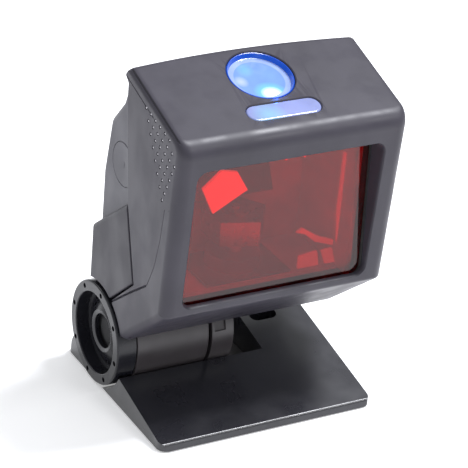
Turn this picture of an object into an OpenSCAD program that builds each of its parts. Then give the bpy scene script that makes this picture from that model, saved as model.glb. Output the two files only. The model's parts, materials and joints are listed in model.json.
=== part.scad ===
// Hands-free laser bar code scanner: a head on a tilting desk stand.
// Millimetres. X runs across the head, the window faces -Y, Z is up.
// The origin is on the table, under the middle of the base. Each piece is
// drawn from the tilt hinge, which stands hinge_y behind the origin.

/* [Head] */
// Twice the distance from the middle of the window to the head's left side
head_w = 82; // [80:1:86]
// How much further the head reaches on its right side
right_extra = 1.6; // [0:0.1:2]
// Height of the head's top rear corners above the table
head_top = 122.8; // [121:0.2:124]
// Length of the sloping top, from rear corner to front ridge
top_len = 40.6; // [40:0.2:41.4]
// How far the middle of the top's rear edge bows out behind its corners
top_bow = 2; // [1:0.2:2.4]
// Fall of the top towards the front, in degrees
top_slope = 17.3; // [16.5:0.1:18]
// Length of the front face, from ridge to chin
front_len = 62.6; // [62:0.2:63.4]
// Lean of the front face, in degrees
front_lean = 4.5; // [4:0.1:5]
// Wall thickness of the moulded covers
wall = 2; // [1.8:0.1:2.2]

/* [Window] */
// Width of the window opening
window_w = 68.4; // [66:0.2:69]
// Height of the window opening along the front face
window_h = 50.4; // [49:0.2:51]
// Corner radius of the window opening
window_r = 3.5; // [2.5:0.5:5]
// Thickness of the red filter
filter_t = 1.5; // [1.2:0.1:1.6]

/* [Button] */
// Radius of the hole for the push button
button_hole_r = 11.6; // [11:0.1:11.7]
// Distance of the button and the lens to the right of the window's middle
button_x = 0.8; // [0:0.1:1]
// Travel of the push button
button_travel = 0.8; // [0.6:0.1:0.9]
// Length of the indicator lens
lens_len = 27; // [24:0.2:28]
// Width of the indicator lens
lens_w = 7.4; // [6:0.2:8]

/* [Hinge] */
// Height of the tilt axis above the table
axis_z = 19; // [19:0.1:19.3]
// Radius of the trough that the hinge turns in
trough_r = 19.6; // [19.5:0.05:19.7]
// Radius of the hinge drum
drum_r = 18.8; // [18.5:0.1:18.9]
// Radius of the clamp ring
ring_r = 18.4; // [18:0.1:18.6]
// Radius of the pivot bolt
bolt_r = 4; // [3.5:0.1:4.2]
// Running clearance on the pivot bolt
run_gap = 0.05; // [0.03:0.01:0.08]

/* [Stand] */
// Width of the base
base_w = 81.6; // [80:0.2:83]
// Distance from the hinge to the base's front edge
base_front = 50.9; // [49:0.1:52]
// Distance from the hinge to the base's rear edge
base_rear = 21.9; // [21.5:0.1:23]
// Slope of the base's top, rise over run
base_slope = 0.22; // [0.21:0.005:0.23]
// Gap between the base and the table, held by the feet
foot_gap = 0.5; // [0.4:0.1:0.6]

/* [Hidden] */

$fn = 64;
cut = 1;                       // how far a cutter runs past a face
fit = 0.2;                     // gap between two covers
half = head_w / 2;
skin = half - wall;            // inner face of the cover's sides
charcoal = [0.30, 0.30, 0.33];
slate = [0.38, 0.39, 0.46];
base_black = [0.16, 0.16, 0.19];
steel = [0.62, 0.63, 0.65];
black_oxide = [0.10, 0.10, 0.11];
board_green = [0.10, 0.32, 0.20];

// Outline of the head's side, as [y, z]
top_dir = [-cos(top_slope), -sin(top_slope)];
front_dir = [sin(front_lean), -cos(front_lean)];
top_rear = [-12.2, head_top];
front_top = top_rear + top_len * top_dir;
front_bottom = front_top + front_len * front_dir;
bow_rear = top_rear - top_bow / cos(top_slope) * top_dir;
bow_r = (half * half + top_bow * top_bow) / (2 * top_bow);
wall_down = wall / cos(top_slope);
ridge_r = 6;
lip_r = 1.6;                   // edge between the front face and the chin
chin_angle = 160.5;            // where the chin meets the trough
chin_end = on_circle(trough_r, chin_angle);
cheek_angle = 118;             // where the cheek meets the cradle
hood_side = [-12.1, 111.2];    // rear edge of the hood's sides, below the top
hood_rear = [-16.8, 76.4];     // lower end of the hood's rear edge
cradle_notch = [-24.4, 50.2];  // corner of the hood at the cradle
cradle_back = 8.9;             // rear face of the cradle
cradle_top = 56.4;
housing_back = 6.7;            // rear face of the upper rear housing
housing_floor = 43;
housing_t = 1.8;
housing_half = skin - fit - 0.1;
tongue = [-20, -10.6];         // the housing's tongue under the hood's top, from and to
housing_bend = [-6.2, 108.9];
housing_knee = [housing_back - 3.5, 98];
button_room = 4.3;             // depth that the button's flange needs under the top

// Places along the sloping top
button_y = -23.8;
lens_drop = 16.9;              // distance from the button's middle to the lens's middle
board_depth = 9;               // top face of the button board under the cover's top
board_t = 1.2;
flange_r = button_hole_r + 0.7;
flange_t = 1.1;
switch_h = 1.8;
plunger_h = 0.75;

// Places along the hinge
ring_face = -41.8;
ring_back = -34.6;
drum_left = -34.4;
drum_right = -7.3;
ear_left = -6.2;
ear_right = 2.1;
ear_mid = (ear_left + ear_right) / 2;
ear_r = 19.2;
ear_screw_y = 14;
trough_right = 15.3;
bolt_head_t = 3.8;
bush_r = 6;

// Stand: places from the hinge, as [x, y]
base_mid = [0, (base_rear - base_front) / 2];
base_len = base_front + base_rear;
edge_h = foot_gap + 2.5;       // height of the base's front edge
base_front_edge = [-base_front + 0.7, edge_h];
apex_y = 13;
base_apex = [apex_y, edge_h + base_slope * (apex_y - base_front_edge[0])];
base_skin = 1.8;
cover_inset = 2;
base_screw_pos = [[-34, -30], [34, -30], [34, 8]];
foot_pos = [[-33, -42], [33, -42], [-33, 15.6], [33, 15.6]];
foot_r = 3;
foot_t = foot_gap + 0.4;
slot_mid = [24, -1.5];
slot_size = [10.4, 5.4];

// Screws: shank radius, head radius, head height
small_screw = [1, 2, 0.5];
pan_screw = [1.2, 2.2, 1];
deep_screw = [1.2, 2.2, 1.3];
saddle_screw = [1.5, 2.8, 1.4];

// Saddle that carries the hinge drum under the cradle
saddle_x = [-29, -13];
saddle_y = 6;
saddle_top = axis_z + trough_r + wall;
saddle_screw_x = [-25.5, -16.5];

// Places on the rear of the head
plug_pos = [-7.8, 86];
plug_r = 7.7;
cradle_screw_x = [-30, 0, 30];
cradle_screw_z = 50;
socket_pos = [18, -2.7, 50.4];
socket_size = [14, 9.4, 11.2];
socket_hole = [11.8, 7.4];

// Sound holes and speaker in the left side
hole_r = 0.6;
hole_rows = [6, 6, 6, 5, 4, 3, 2, 1];
hole_first = [-25.2, 114.2];
hole_pitch = [3.42, 4.2];      // along a row, and from row to row
hole_along = [-3.3, -0.75];
hole_down = [-2.2, -3.9];
speaker_pos = [-32.5, 102.6];
speaker_r = 8;

// The filter's plane, nearly upright behind the leaning front
filter_top = [-42.6, 101.6];
filter_bottom = [-44.5, 49.4];
filter_lean = atan2(filter_bottom[0] - filter_top[0], filter_top[1] - filter_bottom[1]);
filter_w = window_w + 3;
filter_l = norm(filter_top - filter_bottom) - 0.8;
seat_depth = 0.9;              // filter seat behind the window's frame
ridge_inside = [-47.2, 104.6]; // inner corner of the head, above the filter

// Places of the optics
chassis_y = -4.6;
chassis_t = 1.8;
chassis_half = 34;
chassis_side = 1.6;
chassis_screw_z = 96;
mirror_t = 1.2;
motor_pos = [0, -17, 46.5];
motor_r = 9.4;
polygon_z = 58;
polygon_h = 9;
polygon_r = 11.5;
shaft_r = 1.5;
laser_pos = [0, -14.6, 104];
laser_tilt = -168;
laser_r = 3.5;
main_board_pos = [-34, 0.4, 58];
main_board_size = [68, 1.6, 26];
board_screw_z = 61;
inner_screw_x = 30;

hinge_y = (base_front - base_rear) / 2;

module from_hinge() { translate([0, hinge_y, 0]) children(); }

function unit(v) = v / norm(v);
function on_circle(r, a) = [r * cos(a), axis_z + r * sin(a)];
function arc(r, a0, a1, n = 12) = [for (i = [0:n]) on_circle(r, a0 + (a1 - a0) * i / n)];

// The points that round the corner b between a and c with radius r
function corner(a, b, c, r, n) =
  let (u = unit(a - b), v = unit(c - b), h = acos(u * v) / 2,
       o = b + unit(u + v) * r / sin(h), s = b + u * r / tan(h) - o, e = b + v * r / tan(h) - o,
       a0 = atan2(s[1], s[0]), d = (atan2(e[1], e[0]) - a0 + 540) % 360 - 180)
  r == 0 ? [b] : [for (i = [0:n]) o + r * [cos(a0 + d * i / n), sin(a0 + d * i / n)]];

// A closed outline with each corner rounded by its own radius
function rounded(pts, radii, n = 6) =
  let (m = len(pts))
  [for (i = [0:m - 1]) each corner(pts[(i + m - 1) % m], pts[i], pts[(i + 1) % m], radii[i], n)];

function box_outline(w, h, r) =
  rounded([[-w / 2, -h / 2], [w / 2, -h / 2], [w / 2, h / 2], [-w / 2, h / 2]], [r, r, r, r]);

// Draws a [y, z] outline and gives it thickness along X
module slab(x0, x1) {
  translate([x0, 0, 0]) rotate([90, 0, 90]) linear_extrude(x1 - x0) children();
}

// A cylinder along X about the tilt axis
module axle(r, x0, x1) {
  translate([x0, 0, axis_z]) rotate([0, 90, 0]) cylinder(r = r, h = x1 - x0);
}

// A turned part about the tilt axis, from a [radius, x] outline
module turned(pts) {
  translate([0, 0, axis_z]) rotate([0, 90, 0]) rotate_extrude($fn = 96) polygon(pts);
}

// Local frame on the sloping top: Z is the outward normal, Y runs up the slope
module on_top(drop = 0) {
  pos = [button_y, head_top - (top_rear[0] - button_y) * tan(top_slope)] + drop * top_dir;
  translate([button_x, pos[0], pos[1]]) rotate([top_slope, 0, 0]) children();
}

// Local frame on the front face: Z is the outward normal, Y runs up the face
module on_front(drop) {
  pos = front_top + drop * front_dir;
  translate([0, pos[0], pos[1]]) rotate([90 + front_lean, 0, 0]) children();
}

// Local frame on the filter's front face
module on_filter() {
  mid = (filter_top + filter_bottom) / 2;
  translate([0, mid[0], mid[1]]) rotate([90 + filter_lean, 0, 0]) children();
}

module stadium(l, w, h) {
  hull() for (s = [-1, 1]) translate([s * (l - w) / 2, 0, 0]) cylinder(d = w, h = h, $fn = 32);
}

// A cross-head screw along +Z, head at the origin
module screw(size, length) {
  head_r = size[1];
  head_h = size[2];
  slot_l = head_r * 1.2;
  slot_w = head_r * 0.24;
  difference() {
    cylinder(r = head_r, h = head_h, $fn = 32);
    for (a = [0, 90]) rotate([0, 0, a])
      translate([-slot_l / 2, -slot_w / 2, -cut]) cube([slot_l, slot_w, cut + head_h * 0.5]);
  }
  translate([0, 0, head_h]) cylinder(r = size[0], h = length, $fn = 32);
}

/* ---- stand ---- */

function base_side() =
  rounded([[-base_front, foot_gap], [base_rear, foot_gap], base_apex, base_front_edge], [0, 0.6, 4, 1.2]);

module base_outer(inset = 0) {
  intersection() {
    slab(-base_w / 2 + inset, base_w / 2 - inset) polygon(base_side());
    translate([base_mid[0], base_mid[1], 0]) linear_extrude(40)
      polygon(box_outline(base_w - 2 * inset, base_len - 2 * inset, 3.5 - inset));
  }
}

module base_plate() from_hinge() color(base_black) {
  difference() {
    union() {
      difference() {
        base_outer();
        translate([0, 0, -base_skin]) base_outer(base_skin);
      }
      intersection() {
        base_outer();
        union() {
          axle(trough_r + base_skin, -base_w / 2, trough_right + base_skin);
          translate([slot_mid[0], slot_mid[1], 0]) stadium(slot_size[0] + 2.6, slot_size[1] + 2.6, 30);
          for (p = base_screw_pos) translate([p[0], p[1], foot_gap + 1]) cylinder(r = 2.8, h = 30);
          for (s = [-1, 1]) translate([ear_mid, s * ear_screw_y, foot_gap + 1])
            cylinder(r = 3.4, h = 8);
        }
      }
    }
    axle(trough_r, -base_w / 2 - cut, trough_right);
    translate([slot_mid[0], slot_mid[1], 0]) stadium(slot_size[0], slot_size[1], 30);
    for (p = base_screw_pos) translate([p[0], p[1], 0]) cylinder(r = small_screw[0], h = 5, $fn = 32);
    for (s = [-1, 1]) translate([ear_mid, s * ear_screw_y, 0]) {
      cylinder(r = 2.4, h = 2.9, $fn = 32);
      cylinder(r = deep_screw[0], h = 9, $fn = 32);
    }
  }
}

module bottom_cover() from_hinge() color(charcoal) {
  trough_gap = 12.5;             // half the width of the slit that the hinge drum reaches into
  difference() {
    translate([base_mid[0], base_mid[1], foot_gap]) linear_extrude(1)
      polygon(box_outline(base_w - 2 * cover_inset, base_len - 2 * cover_inset - 1.4, 2));
    translate([-base_w, -trough_gap, 0]) cube([base_w + trough_right + 2, 2 * trough_gap, 4]);
    translate([slot_mid[0], slot_mid[1], 0]) stadium(slot_size[0] + 2.8, slot_size[1] + 2.8, 4);
    for (p = base_screw_pos) translate([p[0], p[1], 0]) {
      cylinder(r = small_screw[0] + 0.1, h = 4, $fn = 32);
      cylinder(r = small_screw[1] + 0.1, h = foot_gap + 0.6, $fn = 32);
    }
    for (p = foot_pos) translate([p[0], p[1], 0]) cylinder(r = foot_r, h = foot_t);
  }
}

module base_weight() from_hinge() color(steel) {
  slab(-29, 29) polygon([[-36, 1.7], [-23.5, 1.7], [-23.5, 6.2], [-36, 3.6]]);
  translate([32, -20, 1.7]) cube([6, 22, 5.5]);
}

module rubber_feet() from_hinge() color([0.08, 0.08, 0.08]) {
  for (p = foot_pos) translate([p[0], p[1], 0]) cylinder(r = foot_r, h = foot_t);
}

module base_screws() from_hinge() color(steel) {
  for (p = base_screw_pos) translate([p[0], p[1], foot_gap + 0.1]) screw(small_screw, 3.6);
}

module hinge_ear() from_hinge() color(base_black) {
  notch = [152, 168];            // from and to these angles about the axis
  difference() {
    union() {
      axle(ear_r, ear_left, ear_right);
      intersection() {
        axle(trough_r, ear_left, ear_right);
        translate([ear_left, -40, 0]) cube([ear_right - ear_left, 80, 9]);
      }
    }
    translate([ear_left - cut, -40, foot_gap + 0.2 - 30]) cube([20, 80, 30]);
    axle(bolt_r + run_gap, ear_left - cut, ear_right + cut);
    translate([ear_right - bolt_head_t - 0.2, 0, axis_z]) rotate([0, 90, 0])
      cylinder(r = 7.6, h = 10, $fn = 6);
    slab(ear_left + 0.6, ear_left + 4.6) polygon(
      [each arc(ear_r + 1, notch[1], notch[0], 4), each arc(ear_r - 0.8, notch[0], notch[1], 4)]);
    for (s = [-1, 1]) translate([ear_mid, s * ear_screw_y, 0])
      cylinder(r = deep_screw[0], h = 12, $fn = 32);
  }
}

module ear_screws() from_hinge() color(steel) {
  for (s = [-1, 1]) translate([ear_mid, s * ear_screw_y, foot_gap + 1.1]) screw(deep_screw, 9);
}

module pivot_bolt() from_hinge() color(black_oxide) {
  head_x = ear_right - bolt_head_t - 0.2;
  end_x = -37.2;
  axle(bolt_r, end_x, head_x);
  translate([head_x, 0, axis_z]) rotate([0, 90, 0]) cylinder(r = 7.4, h = bolt_head_t, $fn = 6);
}

module friction_washer() from_hinge() color([0.1, 0.1, 0.1]) {
  inner_r = bolt_r + 0.2;
  outer_r = 14;
  left = drum_right + 0.05;
  turned([[inner_r, left], [outer_r, left], [outer_r, ear_left], [inner_r, ear_left]]);
}

/* ---- clamp ring ---- */

module clamp_ring() from_hinge() color(charcoal) {
  rim = 14.4;
  dish_x = ring_face + 5.4;
  dimples = 8;
  outline = rounded(
    [[ring_r, ring_face], [ring_r, ring_back], [bush_r, ring_back], [bush_r, dish_x - 2.2],
     [7.4, dish_x - 2.6], [rim - 1.4, dish_x], [rim, dish_x - 0.6], [rim, ring_face]],
    [0.7, 0.3, 0, 0.3, 0.5, 1, 0, 0.5], 4);
  difference() {
    turned(outline);
    for (i = [0:dimples - 1]) translate([ring_face - cut, 0, axis_z])
      rotate([360 / dimples * i + 12, 0, 0]) translate([0, 0, (ring_r + rim) / 2])
        rotate([0, 90, 0]) cylinder(r = 0.9, h = cut + 1.6, $fn = 24);
  }
}

module ring_bush() from_hinge() color(black_oxide) {
  face = ring_face + 4.8;
  bore = bolt_r + run_gap;
  turned([[bore, face], [bush_r, face], [bush_r, ring_back], [bore, ring_back]]);
}

/* ---- head covers ---- */

// The point at y on the inner face of the hood's top
function under_skin(y) = [y, head_top - (top_rear[0] - y) * tan(top_slope) - wall_down];

function cover_side() = concat(
  [bow_rear], corner(top_rear, front_top, front_bottom, ridge_r, 10),
  corner(front_top, front_bottom, chin_end, lip_r, 4), arc(trough_r, chin_angle, cheek_angle, 10),
  [cradle_notch, hood_rear, hood_side, bow_rear - [0, wall_down]]);

// The hollow of the front cover: a wall inside the top, chin and trough, a deeper
// frame round the window, and open to the rear
function cover_hollow() = concat(
  [under_skin(4), under_skin(front_top[0] + ridge_r - 1.4), ridge_inside,
   [filter_top[0] + seat_depth, filter_top[1] + wall],
   [filter_top[0] + seat_depth, filter_top[1]], filter_top, filter_bottom,
   filter_bottom + [seat_depth, 0], on_circle(trough_r + wall, chin_angle - 2)],
  arc(trough_r + wall, chin_angle - 4, cheek_angle, 8), [[4, 46]]);

// The bowed rear edge of the top, seen from above
module behind_bow() {
  translate([0, bow_rear[0] - bow_r, 0]) cylinder(r = bow_r, h = 2 * head_top, $fn = 360);
}

module front_cover() from_hinge() color(charcoal) {
  window_drop = window_h / 2 + 9.5;
  difference() {
    intersection() {
      slab(-half, half + right_extra) polygon(cover_side());
      behind_bow();
    }
    slab(-skin, skin) polygon(cover_hollow());
    on_front(window_drop) translate([0, 0, -12]) linear_extrude(12 + cut)
      polygon(box_outline(window_w, window_h, window_r));
    on_top() translate([0, 0, -6]) cylinder(r = button_hole_r, h = 6 + cut);
    on_top(lens_drop) translate([0, 0, -6]) stadium(lens_len, lens_w, 6 + cut);
    for (r = [0:len(hole_rows) - 1], i = [0:hole_rows[r] - 1]) {
      p = hole_first + r * hole_pitch[1] * unit(hole_down) + i * hole_pitch[0] * unit(hole_along);
      translate([-half - cut, p[0], p[1]]) rotate([0, 90, 0])
        cylinder(r = hole_r, h = wall + 2 * cut, $fn = 16);
    }
  }
}

function housing_side() = rounded(
  [under_skin(tongue[0]) - [0, fit], under_skin(tongue[1]) - [0, fit], housing_bend, housing_knee,
   [housing_back, 78], [housing_back, housing_floor], [tongue[0], housing_floor]],
  [0, 1, 8, 5, 8, 1, 0], 5);

module rear_housing() from_hinge() color(slate) {
  t = housing_t;
  difference() {
    slab(-housing_half, housing_half) polygon(housing_side());
    slab(-housing_half + t, housing_half - t) polygon(
      [under_skin(-30) - [0, fit + t], under_skin(-12.8) - [0, fit + t], housing_bend - [t - 0.1, 0.9],
       housing_knee - [t, 0.8], [housing_back - t, 78], [housing_back - t, housing_floor + t],
       [-30, housing_floor + t]]);
    on_top() translate([0, 0, -button_room]) cylinder(r = flange_r + 0.3, h = button_room + cut);
    for (s = [-1, 1]) translate([s * housing_half, plug_pos[0], plug_pos[1]]) rotate([0, 90, 0])
      cylinder(r = plug_r, h = 3, center = true);
    translate([socket_pos[0] - socket_size[0] / 2 - fit, -10, socket_pos[2] - socket_size[2] / 2 - fit])
      cube([socket_size[0] + 2 * fit, 30, socket_size[2] + 2 * fit]);
    for (x = cradle_screw_x) translate([x, 0, cradle_screw_z]) rotate([-90, 0, 0])
      cylinder(r = deep_screw[0], h = 20, $fn = 32);
  }
}

module side_plugs() from_hinge() color(slate) {
  for (s = [-1, 1]) translate([s * (housing_half - 1.5), plug_pos[0], plug_pos[1]])
    rotate([0, s * 90, 0]) rotate_extrude()
      polygon([[0, 0], [plug_r, 0], [plug_r, 1.35], [plug_r - 0.35, 1.6], [0, 1.2]]);
}

function cradle_side() = concat(
  [hood_rear + [0.7, 0], cradle_notch + [0.7, 0], on_circle(trough_r, cheek_angle - 2.4)],
  arc(trough_r, cheek_angle - 3, acos(cradle_back / trough_r), 10),
  corner([cradle_back, 40], [cradle_back, cradle_top], hood_rear, 1.8, 5));

module rear_cradle() from_hinge() color(charcoal) {
  inner = skin - 0.1;
  back = housing_back + fit;
  hole = socket_hole + [0.8, 1.4];
  difference() {
    slab(-half, half + right_extra) polygon(cradle_side());
    slab(-inner, inner) polygon(concat(
      [[-40, 90], [-40, 41]], arc(trough_r + wall, cheek_angle, 70, 8), [[back, 41], [back, 90]]));
    translate([saddle_x[0] - fit, -saddle_y - fit, 30])
      cube([saddle_x[1] - saddle_x[0] + 2 * fit, 2 * saddle_y + 2 * fit, 20]);
    translate([socket_pos[0] - hole[0] / 2, 0, socket_pos[2] - hole[1] / 2]) cube([hole[0], 20, hole[1]]);
    for (x = cradle_screw_x) translate([x, 0, cradle_screw_z]) rotate([-90, 0, 0]) {
      cylinder(r = deep_screw[0], h = 20, $fn = 32);
      translate([0, 0, cradle_back - deep_screw[2]]) cylinder(r = deep_screw[1] + fit, h = 5, $fn = 32);
    }
  }
}

module cradle_screws() from_hinge() color(steel) {
  for (x = cradle_screw_x) translate([x, cradle_back, cradle_screw_z]) rotate([90, 0, 0])
    screw(deep_screw, 3.2);
}

/* ---- hinge drum, carried by the cradle ---- */

module hinge_drum() from_hinge() color(charcoal) {
  shell = 2.4;
  web = 3;
  sleeve = 7;
  bore = bolt_r + run_gap;
  spring_seat_r = 12;
  saddle_z = axis_z + drum_r - 3;
  difference() {
    union() {
      turned(rounded(
        [[bore, drum_left], [drum_r, drum_left], [drum_r, drum_right], [bore, drum_right]],
        [0, 0.3, 0.3, 0], 3));
      translate([saddle_x[0], -saddle_y, saddle_z])
        cube([saddle_x[1] - saddle_x[0], 2 * saddle_y, saddle_top - saddle_z]);
    }
    turned([[sleeve, drum_left + web], [drum_r - shell, drum_left + web],
            [drum_r - shell, drum_right - web], [sleeve, drum_right - web]]);
    axle(spring_seat_r, drum_left - cut, drum_left + 1.2);
    for (x = saddle_screw_x) translate([x, 0, saddle_top - 5])
      cylinder(r = saddle_screw[0], h = 6, $fn = 32);
  }
}

module disc_spring() from_hinge() color(steel) {
  inner_r = bolt_r + 0.3;
  outer_r = 11.5;
  turned([[inner_r, drum_left + 0.6], [inner_r, drum_left + 0.1], [outer_r, drum_left + 0.7],
          [outer_r, drum_left + 1.2]]);
}

module saddle_plate() from_hinge() color(steel) {
  margin = 2;
  difference() {
    translate([saddle_x[0] - margin, -saddle_y + 0.4, saddle_top])
      cube([saddle_x[1] - saddle_x[0] + 2 * margin, 2 * saddle_y - 0.8, 0.8]);
    for (x = saddle_screw_x) translate([x, 0, saddle_top - cut])
      cylinder(r = saddle_screw[0], h = 4, $fn = 32);
  }
}

module saddle_screws() from_hinge() color(steel) {
  for (x = saddle_screw_x) translate([x, 0, saddle_top + 0.8 + saddle_screw[2]]) rotate([180, 0, 0])
    screw(saddle_screw, 5);
}

/* ---- window ---- */

module window_filter() from_hinge() color([0.55, 0.08, 0.12]) {
  on_filter() translate([0, 0, -0.7 - filter_t]) linear_extrude(filter_t)
    polygon(box_outline(filter_w, filter_l, 1.5));
}

module window_gasket() from_hinge() color([0.05, 0.05, 0.05]) {
  on_filter() translate([0, 0, -0.68]) linear_extrude(0.6) difference() {
    polygon(box_outline(filter_w, filter_l, 1.5));
    polygon(box_outline(window_w - 1.6, window_h - 0.6, window_r));
  }
}

/* ---- indicator lens, button and their board ---- */

module indicator_lens() from_hinge() color([0.75, 0.80, 0.95]) {
  on_top(lens_drop) {
    translate([0, 0, -2.4]) stadium(lens_len - 0.3, lens_w - 0.3, 2.3);
    translate([0, 0, -3.4]) stadium(lens_len + 1.4, lens_w + 1.4, 1);
  }
}

module button_cap() from_hinge() color([0.55, 0.70, 1.0]) {
  flange_top = -wall - 0.05;
  cap_r = button_hole_r - 0.3;
  dish = 1.1;                    // depth of the dished top
  steps = 8;
  on_top() rotate_extrude($fn = 96) polygon(concat(
    [[0, flange_top - flange_t], [flange_r, flange_top - flange_t], [flange_r, flange_top],
     [cap_r, flange_top], [cap_r, -0.5], [cap_r - 0.3, -0.2]],
    [for (i = [1:steps]) let (k = 1 - i / steps) [(cap_r - 0.7) * k, -0.2 - dish * cos(90 * k)]]));
}

module button_stem() from_hinge() color([0.9, 0.9, 0.9]) {
  bottom = switch_h + plunger_h + 0.05 + button_travel - board_depth;
  on_top() translate([0, 0, bottom]) cylinder(r = 2.4, h = -wall - 0.05 - flange_t - bottom);
}

module button_board() from_hinge() color(board_green) {
  on_top() translate([-15, -20.5, -board_depth - board_t]) cube([30, 29.5, board_t]);
}

module button_switch() from_hinge() color([0.2, 0.2, 0.22]) {
  on_top() {
    translate([-3, -3, -board_depth]) cube([6, 6, switch_h]);
    translate([0, 0, -board_depth + switch_h]) cylinder(r = 1.7, h = plunger_h);
  }
}

module indicator_leds() from_hinge() color([0.6, 0.8, 1.0]) {
  led = [2, 1.2, 0.8];
  on_top() {
    for (a = [30:120:270]) rotate([0, 0, a]) translate([6, -led[1] / 2, -board_depth]) cube(led);
    for (x = [-8, 0, 8]) translate([x - led[0] / 2, -lens_drop - led[1] / 2, -board_depth]) cube(led);
  }
}

/* ---- speaker ---- */

module at_speaker(depth) {
  translate([-skin + depth, speaker_pos[0], speaker_pos[1]]) rotate([0, 90, 0]) children();
}

module speaker_gasket() from_hinge() color([0.1, 0.1, 0.1]) {
  at_speaker(0) rotate_extrude() translate([speaker_r - 1.4, 0]) square([1.4, 0.8]);
}

module speaker() from_hinge() color([0.2, 0.2, 0.22]) {
  at_speaker(0.8) rotate_extrude() polygon(
    [[0, 1.4], [2, 1.1], [6.2, 0.3], [7, 0], [speaker_r, 0], [speaker_r, 2.2], [5, 4], [0, 4]]);
}

/* ---- optics, boards and socket ---- */

module optics_chassis() from_hinge() color([0.14, 0.14, 0.15]) {
  width = 2 * chassis_half;
  difference() {
    union() {
      translate([-chassis_half, chassis_y, 46]) cube([width, chassis_t, 54]);
      for (s = [-1, 1]) translate([s > 0 ? chassis_half - chassis_side : -chassis_half, -38, 47])
        cube([chassis_side, 35, 50]);
      translate([-chassis_half, -30, 45]) cube([width, 27, 1.4]);
    }
    translate([0, motor_pos[1], 40]) cylinder(r = motor_r + 0.2, h = 10);
    for (s = [-1, 1]) translate([s * inner_screw_x, chassis_y - cut, chassis_screw_z])
      rotate([-90, 0, 0]) cylinder(r = pan_screw[0], h = 6, $fn = 32);
  }
}

module chassis_screws() from_hinge() color(steel) {
  for (s = [-1, 1]) translate([s * inner_screw_x, chassis_y - pan_screw[2], chassis_screw_z])
    rotate([-90, 0, 0]) screw(pan_screw, 4);
}

module mirror_plate(w, h) {
  translate([-w / 2, -mirror_t / 2, -h / 2]) cube([w, mirror_t, h]);
}

module side_mirrors() from_hinge() color([0.8, 0.82, 0.85]) {
  for (s = [-1, 1]) translate([s * 26, -24, 72]) rotate([0, 0, s * -52]) rotate([8, 0, 0])
    mirror_plate(13, 34);
}

module top_mirrors() from_hinge() color([0.8, 0.82, 0.85]) {
  for (s = [-1, 1]) translate([s * 15, -24, 92]) rotate([0, s * -14, s * -14]) rotate([-42, 0, 0])
    mirror_plate(18, 15);
}

module floor_mirror() from_hinge() color([0.8, 0.82, 0.85]) {
  translate([0, -35.4, 49.6]) rotate([62, 0, 0]) mirror_plate(30, 7);
}

module collecting_mirror() from_hinge() color([0.8, 0.82, 0.85]) {
  curve_r = 60;
  translate([0, -10.4, 79]) rotate([-26, 0, 0]) difference() {
    translate([-15, -mirror_t / 2, -9]) cube([30, 2, 18]);
    translate([0, -curve_r - 0.2, 0]) sphere(r = curve_r, $fn = 96);
  }
}

module at_laser() {
  translate(laser_pos) rotate([laser_tilt, 0, 0]) children();
}

module laser_module() from_hinge() color([0.78, 0.64, 0.32]) at_laser() {
  cylinder(r = laser_r, h = 10);
  translate([0, 0, 10]) cylinder(r = 2.6, h = 1.5);
}

module laser_clamp() from_hinge() color([0.5, 0.51, 0.53]) {
  front = -19;
  difference() {
    translate([-6, front, 97]) cube([12, chassis_y - front, 5]);
    at_laser() translate([0, 0, -cut]) cylinder(r = laser_r, h = 12);
  }
}

module detector_board() from_hinge() color(board_green) {
  translate([-14, -34, 103.2]) rotate([top_slope, 0, 0]) cube([28, 12, board_t]);
}

module scan_motor() from_hinge() color([0.55, 0.56, 0.58]) {
  translate(motor_pos) difference() {
    union() {
      cylinder(r = motor_r, h = 6);
      cylinder(r = 3.2, h = 9.4);
    }
    translate([0, 0, -cut]) cylinder(r = shaft_r + run_gap, h = 20, $fn = 48);
  }
}

module motor_board() from_hinge() color(board_green) {
  difference() {
    translate([-16, motor_pos[1] - 12, motor_pos[2]]) cube([32, 22, 1]);
    translate([0, motor_pos[1], motor_pos[2] - cut]) cylinder(r = motor_r, h = 5);
  }
}

module scan_polygon() from_hinge() color([0.82, 0.84, 0.86]) {
  facets = 5;
  translate([0, motor_pos[1], polygon_z]) difference() {
    union() {
      cylinder(r = polygon_r, h = polygon_h, $fn = facets);
      translate([0, 0, polygon_h]) cylinder(r = 5, h = 1.2);
    }
    translate([0, 0, -cut]) cylinder(r = shaft_r, h = 20, $fn = 48);
  }
}

module rotor_shaft() from_hinge() color(steel) {
  bottom = motor_pos[2] + 1;
  top = polygon_z + polygon_h + 2;
  translate([0, motor_pos[1], bottom]) cylinder(r = shaft_r, h = top - bottom, $fn = 48);
}

module main_board() from_hinge() color(board_green) {
  face = main_board_pos[1];
  difference() {
    translate(main_board_pos) cube(main_board_size);
    for (s = [-1, 1]) translate([s * inner_screw_x, face - cut, board_screw_z]) rotate([-90, 0, 0])
      cylinder(r = pan_screw[0], h = 6, $fn = 32);
  }
  translate([-12, face - 1.2, 64]) cube([12, 1.2, 12]);
  translate([8, face - 1.4, 66]) cube([9, 1.4, 6]);
  for (x = [-26, -20, 22]) translate([x, face - 2.6, 78]) rotate([-90, 0, 0])
    cylinder(r = 2, h = 2.6, $fn = 32);
}

module board_screws() from_hinge() color(steel) {
  for (s = [-1, 1]) translate([s * inner_screw_x, main_board_pos[1] - pan_screw[2], board_screw_z])
    rotate([-90, 0, 0]) screw(pan_screw, 4);
}

module lead_socket() from_hinge() color([0.12, 0.12, 0.13]) {
  w = socket_hole[0];
  h = socket_hole[1];
  translate(socket_pos) difference() {
    translate([-socket_size[0] / 2, 0, -socket_size[2] / 2]) cube(socket_size);
    translate([-w / 2, 1, -h / 2]) cube([w, socket_size[1], h]);
  }
}

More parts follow.
